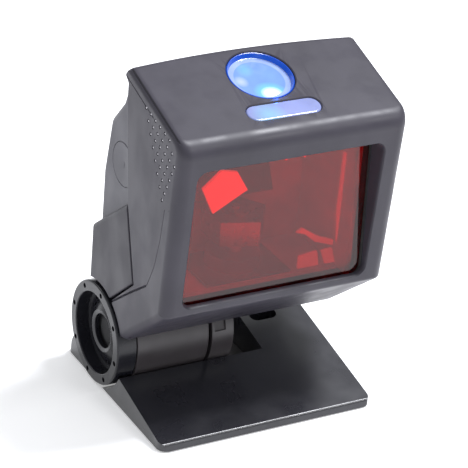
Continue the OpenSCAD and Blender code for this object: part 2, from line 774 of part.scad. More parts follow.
base_plate();
bottom_cover();
base_weight();
rubber_feet();
base_screws();
hinge_ear();
ear_screws();
pivot_bolt();
friction_washer();
clamp_ring();
ring_bush();
front_cover();
rear_housing();
rear_cradle();
side_plugs();
hinge_drum();
saddle_plate();
saddle_screws();
cradle_screws();
disc_spring();
window_filter();
window_gasket();
indicator_lens();
speaker();
speaker_gasket();
optics_chassis();
chassis_screws();
side_mirrors();
top_mirrors();
floor_mirror();
collecting_mirror();
laser_module();
laser_clamp();
detector_board();
scan_motor();
motor_board();
scan_polygon();
rotor_shaft();
main_board();
board_screws();
lead_socket();
button_board();
button_switch();
indicator_leds();
button_cap();
button_stem();
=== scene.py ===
"""Looks of the hands-free bar code scanner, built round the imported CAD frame."""
import json
import math

import bmesh
import bpy
from mathutils import Matrix, Vector


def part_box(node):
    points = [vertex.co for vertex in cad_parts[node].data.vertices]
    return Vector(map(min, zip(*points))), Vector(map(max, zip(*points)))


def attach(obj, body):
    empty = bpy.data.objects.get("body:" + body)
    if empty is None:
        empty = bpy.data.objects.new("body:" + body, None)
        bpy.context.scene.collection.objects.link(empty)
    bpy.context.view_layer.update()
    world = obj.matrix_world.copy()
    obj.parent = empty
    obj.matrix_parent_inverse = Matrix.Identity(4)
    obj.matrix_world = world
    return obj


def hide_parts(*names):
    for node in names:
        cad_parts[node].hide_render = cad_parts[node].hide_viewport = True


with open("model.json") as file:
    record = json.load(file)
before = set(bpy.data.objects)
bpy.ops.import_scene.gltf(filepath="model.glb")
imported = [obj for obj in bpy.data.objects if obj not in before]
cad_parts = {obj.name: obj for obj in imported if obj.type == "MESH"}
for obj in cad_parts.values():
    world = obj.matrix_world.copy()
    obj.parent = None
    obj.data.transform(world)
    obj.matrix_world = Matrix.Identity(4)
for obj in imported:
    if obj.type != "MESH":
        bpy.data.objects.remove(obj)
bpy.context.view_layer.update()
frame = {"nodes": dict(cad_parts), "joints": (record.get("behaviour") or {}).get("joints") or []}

scene = bpy.context.scene
MM = 0.001

# ---------------------------------------------------------------- sizes, in mm
# Places are given from the tilt hinge: X along it, Y back, Z up from the table.
tilt = next(j for j in frame["joints"] if j["name"] == "head_tilt")
HINGE_Y = tilt["pos_m"][1] / MM
AXIS_Z = tilt["pos_m"][2] / MM

HALF = -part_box("front_cover")[0].x / MM     # from the window's middle to the head's left side
RIGHT_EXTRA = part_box("front_cover")[1].x / MM - HALF
WALL = 2.0
TOP_SLOPE = math.radians(17.3)
FRONT_LEAN = math.radians(4.5)
TOP_LEN = 40.6
FRONT_LEN = 62.6
TOP_BOW = 2.0
TOP_REAR = (-12.2, 122.8)
TROUGH_R = 19.6
CHIN_ANGLE, CHEEK_ANGLE = 160.5, 118.0
HOOD_SIDE, HOOD_REAR, CRADLE_NOTCH = (-12.1, 111.2), (-16.8, 76.4), (-24.4, 50.2)
CRADLE_BACK, CRADLE_TOP = 8.9, 56.4
BUTTON_X, BUTTON_Y, BUTTON_R = 0.8, -23.8, 11.6
LENS_DROP, LENS_LEN, LENS_W = 16.9, 27.0, 7.4
WINDOW_W, WINDOW_H, WINDOW_R, WINDOW_TOP = 68.4, 50.4, 3.5, 9.5
FILTER_TOP, FILTER_BOTTOM = (-42.6, 101.6), (-44.5, 49.4)
EAR_LEFT, EAR_RIGHT = -6.2, 2.1
TROUGH_RIGHT = 15.3
SLOT_MID, SLOT_SIZE = (24.0, -1.5), (10.4, 5.4)
BASE_HALF, BASE_FRONT, BASE_REAR = 40.8, 50.9, 21.9
BASE_SLOPE, FOOT_GAP, BASE_EDGE_H = 0.22, 0.5, 3.0


def box_mm(node):
    """The low and high corners of a CAD node's box."""
    low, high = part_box(node)
    return low / MM, high / MM


def add(a, b, k=1.0):
    """The 2-D point a + k b."""
    return (a[0] + k * b[0], a[1] + k * b[1])


def unit(a):
    length = math.hypot(*a)
    return (a[0] / length, a[1] / length)


def on_circle(r, degrees):
    """The [y, z] point on a circle about the hinge; 90 degrees is straight up."""
    a = math.radians(degrees)
    return (r * math.cos(a), AXIS_Z + r * math.sin(a))


def arc(r, a0, a1, n):
    """n steps along a circle about the hinge, from angle a0 to a1 in degrees."""
    return [on_circle(r, a0 + (a1 - a0) * i / n) for i in range(n + 1)]


def point(x, y, z):
    """A point from the hinge, in mm, as a vector of the row frame, in metres."""
    return Vector((x, y + HINGE_Y, z)) * MM


TOP_DIR = (-math.cos(TOP_SLOPE), -math.sin(TOP_SLOPE))
FRONT_DIR = (math.sin(FRONT_LEAN), -math.cos(FRONT_LEAN))
FRONT_TOP = add(TOP_REAR, TOP_DIR, TOP_LEN)
FRONT_BOTTOM = add(FRONT_TOP, FRONT_DIR, FRONT_LEN)


def local(mid, tilt_angle, x=0.0):
    """Matrix of a local frame at [y, z]: its Z is the outward normal, turned by tilt_angle about X."""
    return Matrix.Translation(point(x, *mid)) @ Matrix.Rotation(tilt_angle, 4, "X")


def below_top(y, drop=0.0):
    """The [y, z] point that lies drop mm straight below the sloping top."""
    return (y, TOP_REAR[1] - (TOP_REAR[0] - y) * math.tan(TOP_SLOPE) - drop)


def on_top(drop=0.0):
    """Matrix of the button's frame on the top, moved drop mm down the slope."""
    return local(below_top(BUTTON_Y + drop * TOP_DIR[0]), TOP_SLOPE, BUTTON_X)


def on_front(drop):
    """Matrix of a frame on the front face, drop mm below its top edge."""
    return local(add(FRONT_TOP, FRONT_DIR, drop), math.pi / 2 + FRONT_LEAN)


# ------------------------------------------------------------------- mesh code
def make(name, bm):
    mesh = bpy.data.meshes.new(name)
    bmesh.ops.recalc_face_normals(bm, faces=bm.faces)
    bm.to_mesh(mesh)
    bm.free()
    piece = bpy.data.objects.new(name, mesh)
    scene.collection.objects.link(piece)
    return piece


def skin(name, rings):
    """Faces between successive rings of points, with an n-gon on each end."""
    bm = bmesh.new()
    rows = [[bm.verts.new(p) for p in ring] for ring in rings]
    n = len(rows[0])
    for a, b in zip(rows, rows[1:]):
        for i in range(n):
            bm.faces.new((a[i], a[(i + 1) % n], b[(i + 1) % n], b[i]))
    bm.faces.new(rows[0])
    bm.faces.new(rows[-1])
    return make(name, bm)


def corner(a, b, c, r, n):
    """The points that round the corner b between a and c with radius r."""
    if r <= 0:
        return [b]
    u, v = unit(add(a, b, -1)), unit(add(c, b, -1))
    half = math.acos(max(-1, min(1, u[0] * v[0] + u[1] * v[1]))) / 2
    reach = min(r / math.tan(half), 0.49 * math.dist(a, b), 0.49 * math.dist(c, b))
    r = reach * math.tan(half)
    mid = unit(add(u, v))
    o = add(b, mid, r / math.sin(half))
    s, e = add(add(b, u, reach), o, -1), add(add(b, v, reach), o, -1)
    a0 = math.atan2(s[1], s[0])
    turn = (math.atan2(e[1], e[0]) - a0 + 3 * math.pi) % (2 * math.pi) - math.pi
    return [(o[0] + r * math.cos(a0 + turn * i / n), o[1] + r * math.sin(a0 + turn * i / n))
            for i in range(n + 1)]


def offset(points, radii, insets, n=6):
    """The outline with edge i, from points i to i + 1, moved in by insets[i], and its corners rounded."""
    m = len(points)
    area = sum(points[i][0] * points[(i + 1) % m][1] - points[(i + 1) % m][0] * points[i][1]
               for i in range(m))
    side = 1 if area > 0 else -1
    lines = []
    for i in range(m):
        d = unit(add(points[(i + 1) % m], points[i], -1))
        inward = (-d[1] * side, d[0] * side)
        lines.append((add(points[i], inward, insets[i]), d))
    moved = []
    for i in range(m):
        (p, d), (q, e) = lines[i - 1], lines[i]
        cross = d[0] * e[1] - d[1] * e[0]
        t = ((q[0] - p[0]) * e[1] - (q[1] - p[1]) * e[0]) / cross
        moved.append(add(p, d, t))
    out = []
    for i in range(m):
        shrink = min(insets[i - 1], insets[i])
        r = max(radii[i] - shrink, 0.25) if radii[i] > 0 else 0
        out += corner(moved[i - 1], moved[i], moved[(i + 1) % m], r, n)
    return out


def slices(half, reach, middle):
    """Distances along X with close steps over the last reach mm at each end."""
    n = 8
    ends = [reach * (1 - math.cos(math.pi / 2 * i / n)) for i in range(n + 1)]
    left = [-half + e for e in ends]
    inner = [-half + reach + (2 * half - 2 * reach) * i / middle for i in range(1, middle)]
    return left + inner + [half - e for e in reversed(ends)]


def moulding(name, points, radii, rounds, half, middle=1, bend=None, n=6, extra=0.0):
    """A solid with that side outline, whose ends are rounded by rounds[i] along edge i.

    Its right end reaches extra mm further than its left one.
    """
    reach = max(rounds)
    rings = []
    for x in slices(half, reach, middle):
        s = half - abs(x)
        insets = [r - math.sqrt(max(r * r - (r - s) ** 2, 0)) if s < r else 0.0 for r in rounds]
        moved = bend(x, points) if bend else points
        across = x + extra * max(x, 0) / half
        rings.append([point(across, *p) for p in offset(moved, radii, insets, n)])
    return skin(name, rings)


def prism(name, points, x0, x1):
    return skin(name, [[point(x, *p) for p in points] for x in (x0, x1)])


def rod(name, r, x0, x1, n=96):
    """A cylinder along X about the tilt axis."""
    return prism(name, [on_circle(r, 360 * i / n) for i in range(n)], x0, x1)


def box_outline(w, h, r, n=8):
    pts = [(-w / 2, -h / 2), (w / 2, -h / 2), (w / 2, h / 2), (-w / 2, h / 2)]
    return offset(pts, [r] * 4, [0] * 4, n)


def stadium(length, width):
    """A slot's outline; its radius is a hair under half the width, so that no side has length 0."""
    return box_outline(length, width, width / 2 * 0.999, 16)


def plate(name, outline, z0, z1, place):
    """An outline in a local frame's XY plane, thick from z0 to z1."""
    rings = [[place @ (Vector((x, y, z)) * MM) for x, y in outline] for z in (z0, z1)]
    return skin(name, rings)


def tapered(name, outlines, place):
    """Rings of [x, y] outlines with the same number of points, each at its own z."""
    return skin(name, [[place @ (Vector((x, y, z)) * MM) for x, y in o] for z, o in outlines])


def lathe(name, profile, place, n=96):
    """A [radius, z] profile turned about a local Z axis.

    A profile that starts and ends at radius 0 makes a closed solid.
    """
    bm = bmesh.new()
    rows = []
    for r, z in profile:
        if r < 1e-6:
            rows.append([bm.verts.new(place @ (Vector((0, 0, z)) * MM))])
            continue
        rows.append([bm.verts.new(place @ (Vector((r * math.cos(2 * math.pi * i / n),
                                                    r * math.sin(2 * math.pi * i / n), z)) * MM))
                     for i in range(n)])
    pairs = list(zip(rows, rows[1:]))
    if len(rows[0]) > 1:
        pairs.append((rows[-1], rows[0]))
    for a, b in pairs:
        for i in range(n):
            j = (i + 1) % n
            if len(a) == 1 and len(b) > 1:
                bm.faces.new((a[0], b[i], b[j]))
            elif len(b) == 1 and len(a) > 1:
                bm.faces.new((a[i], a[j], b[0]))
            elif len(a) > 1:
                bm.faces.new((a[i], a[j], b[j], b[i]))
    return make(name, bm)


def groove(name, path, width, depth, x):
    """A cutter with a diamond section along a [y, z] path on the side face at x."""
    rings = []
    for i, p in enumerate(path):
        d = unit(add(path[min(i + 1, len(path) - 1)], path[max(i - 1, 0)], -1))
        across = (-d[1], d[0])
        a, b = add(p, across, width / 2), add(p, across, -width / 2)
        rings.append([point(x, *a), point(x - depth, *p), point(x, *b), point(x + depth, *p)])
    return skin(name, rings)


def curve_path(points, r):
    """An open [y, z] path with its inner corners rounded."""
    out = [points[0]]
    for a, b, c in zip(points, points[1:], points[2:]):
        out += corner(a, b, c, r, 6)
    return out + [points[-1]]


def run_modifier(piece, kind, **settings):
    mod = piece.modifiers.new(kind, kind)
    for key, value in settings.items():
        setattr(mod, key, value)
    dg = bpy.context.evaluated_depsgraph_get()
    mesh = bpy.data.meshes.new_from_object(piece.evaluated_get(dg), depsgraph=dg)
    old = piece.data
    piece.modifiers.clear()
    piece.data = mesh
    bpy.data.meshes.remove(old)


def carve(piece, *cutters, operation="DIFFERENCE"):
    """Cuts (or joins, or keeps the overlap with) each solid in turn, which is then removed."""
    for c in cutters:
        run_modifier(piece, "BOOLEAN", object=c, operation=operation, solver="EXACT")
        bpy.data.objects.remove(c)
    return piece


SHARP_ANGLE = math.radians(38)


def soften(piece, width=0.3, segments=3, angle=35):
    """Rounds sharp edges, then shades the piece smooth with true flats."""
    if width:
        run_modifier(piece, "BEVEL", width=width * MM, segments=segments, limit_method="ANGLE",
                     angle_limit=math.radians(angle), use_clamp_overlap=True,
                     miter_outer="MITER_ARC")
    piece.data.shade_smooth()
    piece.data.set_sharp_from_angle(angle=SHARP_ANGLE)
    run_modifier(piece, "WEIGHTED_NORMAL", weight=60, keep_sharp=True)
    return piece


# ------------------------------------------------------------------- materials
class Paint:
    """A node material round one Principled shader, with helpers for its procedural inputs."""

    def __init__(self, name, color, roughness, metallic=0.0, **sockets):
        self.mat = bpy.data.materials.new(name)
        self.mat.use_nodes = True
        self.nodes = self.mat.node_tree.nodes
        self.links = self.mat.node_tree.links
        self.shader = self.nodes["Principled BSDF"]
        self.shader.inputs["Base Color"].default_value = (*color, 1)
        self.shader.inputs["Roughness"].default_value = roughness
        self.shader.inputs["Metallic"].default_value = metallic
        for key, value in sockets.items():
            self.shader.inputs[key.replace("_", " ")].default_value = value
        self.coord = self.nodes.new("ShaderNodeTexCoord").outputs["Object"]

    def noise(self, per_metre, detail=3.0, rough=0.5, stretch=(1, 1, 1)):
        mapping = self.nodes.new("ShaderNodeMapping")
        mapping.inputs["Scale"].default_value = [per_metre * s for s in stretch]
        self.links.new(self.coord, mapping.inputs["Vector"])
        node = self.nodes.new("ShaderNodeTexNoise")
        node.inputs["Scale"].default_value = 1.0
        node.inputs["Detail"].default_value = detail
        node.inputs["Roughness"].default_value = rough
        self.links.new(mapping.outputs["Vector"], node.inputs["Vector"])
        return node.outputs["Fac"]

    def ramp(self, source, low, high, a=0.35, b=0.65):
        """Maps a 0..1 source onto low..high, which are numbers or colours."""
        node = self.nodes.new("ShaderNodeMapRange")
        node.inputs["From Min"].default_value = a
        node.inputs["From Max"].default_value = b
        self.links.new(source, node.inputs["Value"])
        if isinstance(low, (int, float)):
            node.inputs["To Min"].default_value = low
            node.inputs["To Max"].default_value = high
            return node.outputs["Result"]
        mix = self.nodes.new("ShaderNodeMix")
        mix.data_type = "RGBA"
        self.links.new(node.outputs["Result"], mix.inputs["Factor"])
        ends = [socket for socket in mix.inputs if socket.type == "RGBA"]
        ends[0].default_value = (*low, 1)
        ends[1].default_value = (*high, 1)
        return next(s for s in mix.outputs if s.type == "RGBA")

    def set(self, socket, source):
        self.links.new(source, self.shader.inputs[socket])
        return self

    def bump(self, source, distance, strength=1.0):
        node = self.nodes.new("ShaderNodeBump")
        node.inputs["Strength"].default_value = strength
        node.inputs["Distance"].default_value = distance
        self.links.new(source, node.inputs["Height"])
        last = self.shader.inputs["Normal"]
        if last.is_linked:
            self.links.new(last.links[0].from_socket, node.inputs["Normal"])
        self.links.new(node.outputs["Normal"], last)
        return self


def scaled(color, k):
    return tuple(min(c * k, 1.0) for c in color)


def plastic(name, color, roughness, spread=0.12, grain=2600, grain_depth=0.000010, coat=0.0, shine=0.5):
    """Moulded plastic: a fine spark-eroded grain, faint flow marks and handling sheen."""
    p = Paint(name, color, roughness, Coat_Weight=coat, Coat_Roughness=0.2, Specular_IOR_Level=shine)
    cloud = p.noise(38, 4, 0.6)
    p.set("Base Color", p.ramp(cloud, scaled(color, 1 - spread), scaled(color, 1 + spread)))
    scuff = p.noise(110, 2, 0.5, (1, 1, 0.6))
    p.set("Roughness", p.ramp(scuff, roughness - 0.06, roughness + 0.07))
    p.bump(p.noise(grain, 2, 0.5), grain_depth, 0.4)
    p.bump(p.noise(22, 2, 0.4), 0.00018, 0.12)
    return p.mat


def metal(name, color, roughness, brushed=(1, 1, 1), depth=0.000006):
    p = Paint(name, color, roughness, 1.0)
    fine = p.noise(900, 3, 0.6, brushed)
    p.set("Base Color", p.ramp(p.noise(60, 3), scaled(color, 0.88), scaled(color, 1.08)))
    p.set("Roughness", p.ramp(fine, roughness - 0.05, roughness + 0.1))
    p.bump(fine, depth, 0.5)
    return p.mat


def rubber(name, color):
    roughness = 0.8
    p = Paint(name, color, roughness)
    p.set("Base Color", p.ramp(p.noise(220, 4), scaled(color, 0.8), scaled(color, 1.3)))
    p.set("Roughness", p.ramp(p.noise(400, 3), roughness - 0.08, roughness + 0.08))
    p.bump(p.noise(1800, 2), 0.00003, 0.5)
    return p.mat


def circuit(name):
    """Solder mask over copper tracks: a blocky pattern of raised lines."""
    mask = (0.012, 0.10, 0.045)
    p = Paint(name, mask, 0.35)
    brick = p.nodes.new("ShaderNodeTexBrick")
    brick.inputs["Scale"].default_value = 260
    brick.inputs["Mortar Size"].default_value = 0.06
    p.links.new(p.coord, brick.inputs["Vector"])
    p.set("Base Color", p.ramp(brick.outputs["Fac"], mask, (0.03, 0.19, 0.08), 0.1, 0.9))
    p.set("Roughness", p.ramp(p.noise(300), 0.28, 0.42))
    p.bump(brick.outputs["Fac"], 0.00003, 0.4)
    return p.mat


def red_glass(name):
    """Tinted filter: a clear shader of the tint, mixed with a thin glossy sheet, and a trace of dust."""
    p = Paint(name, (0.06, 0.004, 0.006), 0.04, IOR=2.2, Coat_Weight=1.0, Coat_IOR=2.1,
              Coat_Roughness=0.03)
    p.set("Roughness", p.ramp(p.noise(700, 4, 0.7), 0.03, 0.09, 0.45, 0.75))
    p.set("Base Color", p.ramp(p.noise(90, 4), (0.06, 0.002, 0.003), (0.16, 0.006, 0.008)))
    p.bump(p.noise(14, 1), 0.0001, 0.05)
    clear = p.nodes.new("ShaderNodeBsdfTransparent")
    clear.inputs["Color"].default_value = (0.96, 0.016, 0.024, 1)
    mix = p.nodes.new("ShaderNodeMixShader")
    mix.inputs["Fac"].default_value = 0.17
    p.links.new(clear.outputs["BSDF"], mix.inputs[1])
    p.links.new(p.shader.outputs["BSDF"], mix.inputs[2])
    p.links.new(mix.outputs["Shader"], p.nodes["Material Output"].inputs["Surface"])
    return p.mat


def spot(p, centre, radius, a, b):
    """1 near a point of the row frame, fading to 0 at radius (metres), as a value from a to b."""
    node = p.nodes.new("ShaderNodeVectorMath")
    node.operation = "DISTANCE"
    p.links.new(p.coord, node.inputs[0])
    node.inputs[1].default_value = centre
    return p.ramp(node.outputs["Value"], a, b, radius, 0.0)


def lit_plastic(name, body, glow, strength, hot=(), coat=0.5):
    """Back-lit translucent plastic: a body colour, a soft glow and hot spots over its lamps; a hot spot can
    also be a painted highlight, and the glow can be a painted reflection.
    """
    p = Paint(name, body, 0.16, IOR=1.49, Coat_Weight=coat, Coat_Roughness=0.05)
    p.set("Roughness", p.ramp(p.noise(500, 3), 0.12, 0.24))
    p.set("Base Color", p.ramp(p.noise(120, 3), scaled(body, 0.9), scaled(body, 1.1)))
    p.bump(p.noise(160, 2), 0.00006, 0.2)
    total = p.ramp(p.noise(70, 2), scaled(glow, 0.85 * strength), scaled(glow, 1.1 * strength))
    for centre, radius, color in hot:
        mix = p.nodes.new("ShaderNodeMix")
        mix.data_type = "RGBA"
        mix.blend_type = "ADD"
        colors = [s for s in mix.inputs if s.type == "RGBA"]
        mix.inputs["Factor"].default_value = 1.0
        p.links.new(total, colors[0])
        p.links.new(spot(p, centre, radius, (0, 0, 0), color), colors[1])
        total = next(s for s in mix.outputs if s.type == "RGBA")
    p.set("Emission Color", total)
    p.shader.inputs["Emission Strength"].default_value = 1.0
    return p.mat


COVER = (0.039, 0.036, 0.048)
HOUSING = (0.082, 0.080, 0.095)
BASE = (0.0165, 0.0165, 0.0215)

mat_cover = plastic("cover_plastic", COVER, 0.42, shine=0.34)
mat_cradle = plastic("cradle_plastic", scaled(COVER, 0.8), 0.42, shine=0.32)
mat_housing = plastic("housing_plastic", HOUSING, 0.44, shine=0.4)
mat_base = plastic("base_plastic", BASE, 0.32, grain=800, grain_depth=0.000006, coat=0.5, shine=0.5)
mat_barrel = plastic("barrel_plastic", (0.036, 0.031, 0.034), 0.34)
mat_ring = plastic("ring_plastic", (0.010, 0.010, 0.014), 0.28, grain=3200, shine=0.4)
mat_inner = plastic("inner_plastic", (0.030, 0.030, 0.032), 0.5)
# The chassis grey is lightened so that the inside, seen through the red filter, looks lit: painted light.
mat_frame = plastic("chassis_plastic", (0.50, 0.48, 0.48), 0.5, spread=0.35)
# The pips' pale colour is a painted highlight: it stands for the bright glint in the middle of each sound
# hole.
mat_pip_glint = plastic("pip_painted_glint", (0.72, 0.70, 0.74), 0.35)
mat_rubber = rubber("rubber_black", (0.014, 0.014, 0.014))
mat_steel = metal("steel", (0.56, 0.56, 0.57), 0.32, (1, 1, 6))
mat_dark = metal("dark_steel", (0.014, 0.014, 0.015), 0.5, (1, 6, 6))
mat_motor = metal("motor_steel", (0.48, 0.48, 0.50), 0.36, (1, 1, 9))
mat_iron = metal("cast_weight", (0.20, 0.20, 0.21), 0.62, depth=0.00006)
mat_brass = metal("brass", (0.75, 0.56, 0.27), 0.28, (6, 1, 1))
mat_mirror = metal("mirror", (0.30, 0.28, 0.28), 0.30, depth=0.000001)
mat_collect = metal("collecting_mirror", (0.05, 0.042, 0.042), 0.4, depth=0.000002)
mat_board = circuit("board")
mat_filter = red_glass("red_filter")


def over_top(x, y, drop=0.0):
    """A point on the sloping top, in the row frame."""
    return on_top(drop) @ (Vector((x, y, -1.5)) * MM)


# The wall's deep blue glow is partly the cap's own glow and partly painted light: the button's blue light
# falling on the wall of its hole in the cover.
mat_wall = lit_plastic("button_wall", (0.004, 0.04, 0.30), (0.004, 0.04, 0.24), 1.0, coat=0.1)
mat_ledge = lit_plastic("button_ledge", (0.24, 0.32, 0.56), (0.03, 0.05, 0.11), 1.0)
# Of the button's hot spots, the warm one left of the middle is a painted highlight, a lamp's reflection on
# the cap. The others are the glow over its lamp.
mat_button = lit_plastic(
    "button_clear", (0.12, 0.22, 0.50), (0.03, 0.06, 0.18), 1.0,
    [(over_top(1.0, -6.6), 0.0060, (0.02, 0.75, 0.60)), (over_top(1.2, -7.0), 0.0040, (2.2, 1.6, 1.6)),
     (over_top(-6.4, 0.4), 0.0030, (0.55, 0.45, 0.35)), (over_top(-2.6, 5.6), 0.0035, (0.02, 0.22, 0.12))])
mat_lens = lit_plastic(
    "lens_clear", (0.20, 0.23, 0.42), (0.01, 0.02, 0.09), 1.0,
    [(over_top(-6.0, -1.6, LENS_DROP), 0.0065, (0.03, 0.34, 0.20))])
mat_led = lit_plastic("led", (0.5, 0.7, 1.0), (0.1, 0.4, 1.0), 2.0)


def dress(piece, mat):
    """Gives the whole mesh one material."""
    piece.data.materials.clear()
    piece.data.materials.append(mat)
    return piece


def stands_for(piece, mat, slot_name, body, *nodes):
    dress(piece, mat)
    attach(piece, body)
    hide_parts(*nodes)
    return piece


# ----------------------------------------------------------------- front cover
RIDGE_R, LIP_R = 6.0, 1.8
TROUGH_STEPS = 10
TOP_ROUND, FRONT_ROUND, CHIN_ROUND, EDGE_ROUND = 2.2, 4.2, 3.2, 0.5
LIP_OUT, LIP_FOOT = (2.5, -3.6), (0.1, -5.6)        # beak of the rear top edge, from its corner

# Sound holes in the left side: rows of holes, from the upper rear one
HOLE_R, HOLE_PITCH, ROW_PITCH = 0.62, 3.42, 4.2
HOLES_IN_ROW = [6, 6, 6, 5, 4, 3, 2, 1]
FIRST_HOLE, ALONG_ROW, NEXT_ROW = (-25.2, 114.2), (-3.3, -0.75), (-2.2, -3.9)

# Lines on both sides, each [y, z]: the crease behind the frame, the seam under it and a short tick
SIDE_CREASE = [(-41.9, 86.2), (-40.4, 74.8), (-37.7, 63.7), (-33.6, 54.6), (-30.0, 51.9)]
CHEEK_SEAM = [(-33.2, 54.4), (-22.6, 46.4), (-6.9, 33.8)]
CREASE_TICK = [(-44.4, 87.0), (-49.9, 87.9)]

# Rims of the openings, as [depth, growth] steps from the outside in
WINDOW_RIM = [(0.6, 1.4), (0.0, 0.55), (-0.5, 0.15), (-1.2, 0.0), (-12.0, -0.9)]
BUTTON_RIM = [(1.0, 1.3), (0.0, 0.3), (-0.3, 0.0), (-6.0, 0.0)]


def bowed(x, points):
    """Moves the top's rear edge back towards the middle of the head."""
    back = TOP_BOW * max(1 - (x / HALF) ** 2, 0)
    rear = (TOP_REAR[0] + back, TOP_REAR[1] + back * math.tan(TOP_SLOPE))
    return [rear] + points[1:-2] + [add(rear, LIP_FOOT), add(rear, LIP_OUT)]


def sound_holes():
    """Middles of the sound holes in the left side."""
    along, next_row = unit(ALONG_ROW), unit(NEXT_ROW)
    return [add(add(FIRST_HOLE, next_row, ROW_PITCH * r), along, HOLE_PITCH * i)
            for r, count in enumerate(HOLES_IN_ROW) for i in range(count)]


def discs(name, profile):
    """A turned solid along X in each sound hole, from an [x, radius] profile."""
    n = 14
    bm = bmesh.new()
    for y, z in sound_holes():
        rings = [[bm.verts.new(point(x, y + r * math.cos(2 * math.pi * k / n),
                                     z + r * math.sin(2 * math.pi * k / n))) for k in range(n)]
                 for x, r in profile]
        for a, b in zip(rings, rings[1:]):
            for k in range(n):
                bm.faces.new((a[k], a[(k + 1) % n], b[(k + 1) % n], b[k]))
        bm.faces.new(rings[0])
        bm.faces.new(rings[-1])
    return make(name, bm)


def below_edge(gap, start, end):
    """A straight path at a gap under the top.

    It runs from start mm before the rear edge's corner to end mm past the front ridge.
    """
    down = (-TOP_DIR[1], TOP_DIR[0])
    return [add(add(TOP_REAR, TOP_DIR, start), down, gap), add(add(FRONT_TOP, TOP_DIR, end), down, gap)]


def front_cover():
    trough = arc(TROUGH_R, CHIN_ANGLE, CHEEK_ANGLE, TROUGH_STEPS)
    points = [TOP_REAR, FRONT_TOP, FRONT_BOTTOM, *trough, CRADLE_NOTCH, HOOD_REAR, HOOD_SIDE,
              add(TOP_REAR, LIP_FOOT), add(TOP_REAR, LIP_OUT)]
    radii = [2.4, RIDGE_R, LIP_R] + [0.6] + [0] * (TROUGH_STEPS - 1) + [0.6] + [0.8, 1.5, 1.5, 1.5, 0.6]
    rounds = [TOP_ROUND, FRONT_ROUND, CHIN_ROUND] + [0.001] * TROUGH_STEPS + [EDGE_ROUND] * 6
    cover = moulding("front_cover_shell", points, radii, rounds, HALF, 16, bowed, 8, RIGHT_EXTRA)
    down = WALL / math.cos(TOP_SLOPE)
    seat = 0.9
    hollow = [below_top(4, down), below_top(FRONT_TOP[0] + 4.6, down), (-47.2, 104.6),
              (FILTER_TOP[0] + seat, 103.6), add(FILTER_TOP, (seat, 0)), FILTER_TOP,
              FILTER_BOTTOM, add(FILTER_BOTTOM, (seat, 0)),
              on_circle(TROUGH_R + WALL, CHIN_ANGLE - 2)]
    hollow += arc(TROUGH_R + WALL, CHIN_ANGLE - 4, CHEEK_ANGLE, 8) + [(4, 46)]
    carve(cover, prism("cut", hollow, -HALF + WALL, HALF - WALL))
    place = on_front(WINDOW_H / 2 + WINDOW_TOP)
    rings = [(z, box_outline(WINDOW_W + 2 * g, WINDOW_H + 2 * g, WINDOW_R + g)) for z, g in WINDOW_RIM]
    carve(cover, tapered("cut", rings, place))
    turned = [(0, BUTTON_RIM[0][0])] + [(BUTTON_R + g, z) for z, g in BUTTON_RIM] + [(0, BUTTON_RIM[-1][0])]
    slots = [(z, stadium(LENS_LEN + 2 * g, LENS_W + 2 * g)) for z, g in BUTTON_RIM]
    carve(cover, lathe("cut", turned, on_top()), tapered("cut", slots, on_top(LENS_DROP)))
    for s in (-1, 1):
        x = -HALF if s < 0 else HALF + RIGHT_EXTRA
        carve(cover, groove("cut", below_edge(0.5, -3.0, -3.5), 0.9, 0.5, x - s * 0.9),
              groove("cut", below_edge(3.9, -3.0, -20.0), 0.5, 0.22, x),
              groove("cut", curve_path(SIDE_CREASE, 6), 0.34, 0.22, x),
              groove("cut", curve_path(CHEEK_SEAM, 4), 0.8, 0.6, x),
              groove("cut", CREASE_TICK, 0.2, 0.1, x))
    carve(cover, discs("cut", [(-HALF - 1, HOLE_R), (-HALF + WALL + 1, HOLE_R)]))
    soften(cover, 0.18, 2, 40)
    return stands_for(cover, mat_cover, "cover_plastic", "head", "front_cover")


def sound_pips():
    """The plug in each sound hole: a dimple with a pale pip in its middle, a painted highlight for the
    glint in each hole.
    """
    depths = [(1.4, 0.60), (0.55, 0.60), (0.50, 0.40), (0.30, 0.36), (0.14, 0.26), (0.06, 0.10)]
    pips = discs("sound_pips", [(-HALF + d, r) for d, r in depths])
    pips.data.shade_smooth()
    dress(pips, mat_pip_glint)
    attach(pips, "head")


front_cover()
sound_pips()


# ---------------------------------------------------------------- rear housing
PLUG_MID, PLUG_R = (-7.8, 86), 7.7


def rear_housing():
    back, foot_z, t = 6.7, 43, 1.8
    half = HALF - WALL - 0.3
    down = WALL / math.cos(TOP_SLOPE) + 0.2
    points = [below_top(-20, down), below_top(-10.6, down), (-6.2, 108.9), (back - 3.5, 98), (back, 78),
              (back, foot_z), (-20, foot_z)]
    shell = moulding("rear_housing_shell", points, [0, 1, 8, 5, 8, 1, 0],
                     [0.001, 1.5, 2.6, 2.6, 2.6, 0.5, 0.001], half, 1, None, 8)
    inner = [below_top(-30, down + t), below_top(-12.8, down + t), (-7.9, 108), (back - 5.3, 97.2),
             (back - t, 78), (back - t, foot_z + t), (-30, foot_z + t)]
    carve(shell, prism("cut", inner, -half + t, half - t))
    carve(shell, lathe("cut", [(0, 1), (12.3, 1), (12.3, -4.3), (0, -4.3)], on_top()))
    for s in (-1, 1):
        place = Matrix.Translation(point(s * half, *PLUG_MID)) @ Matrix.Rotation(s * math.pi / 2, 4, "Y")
        seat = [(0, 1), (PLUG_R + 0.4, 1), (PLUG_R + 0.05, 0), (PLUG_R, -1.5), (0, -1.5)]
        carve(shell, lathe("cut", seat, place))
    low, high = box_mm("lead_socket")
    fit = 0.2
    hole = [(-10, low.z - fit), (30, low.z - fit), (30, high.z + fit), (-10, high.z + fit)]
    carve(shell, prism("cut", hole, low.x - fit, high.x + fit))
    soften(shell, 0.2, 2)
    return stands_for(shell, mat_housing, "housing_plastic", "head", "rear_housing")


rear_housing()


# ---------------------------------------------------------------- rear cradle
SCREWS_X, SCREW_Z = (-30, 0, 30), 50
SCREW_SEAT = [(0, 1), (2.9, 1), (2.4, -0.1), (2.4, -1.3), (1.2, -1.35), (1.2, -4), (0, -4)]


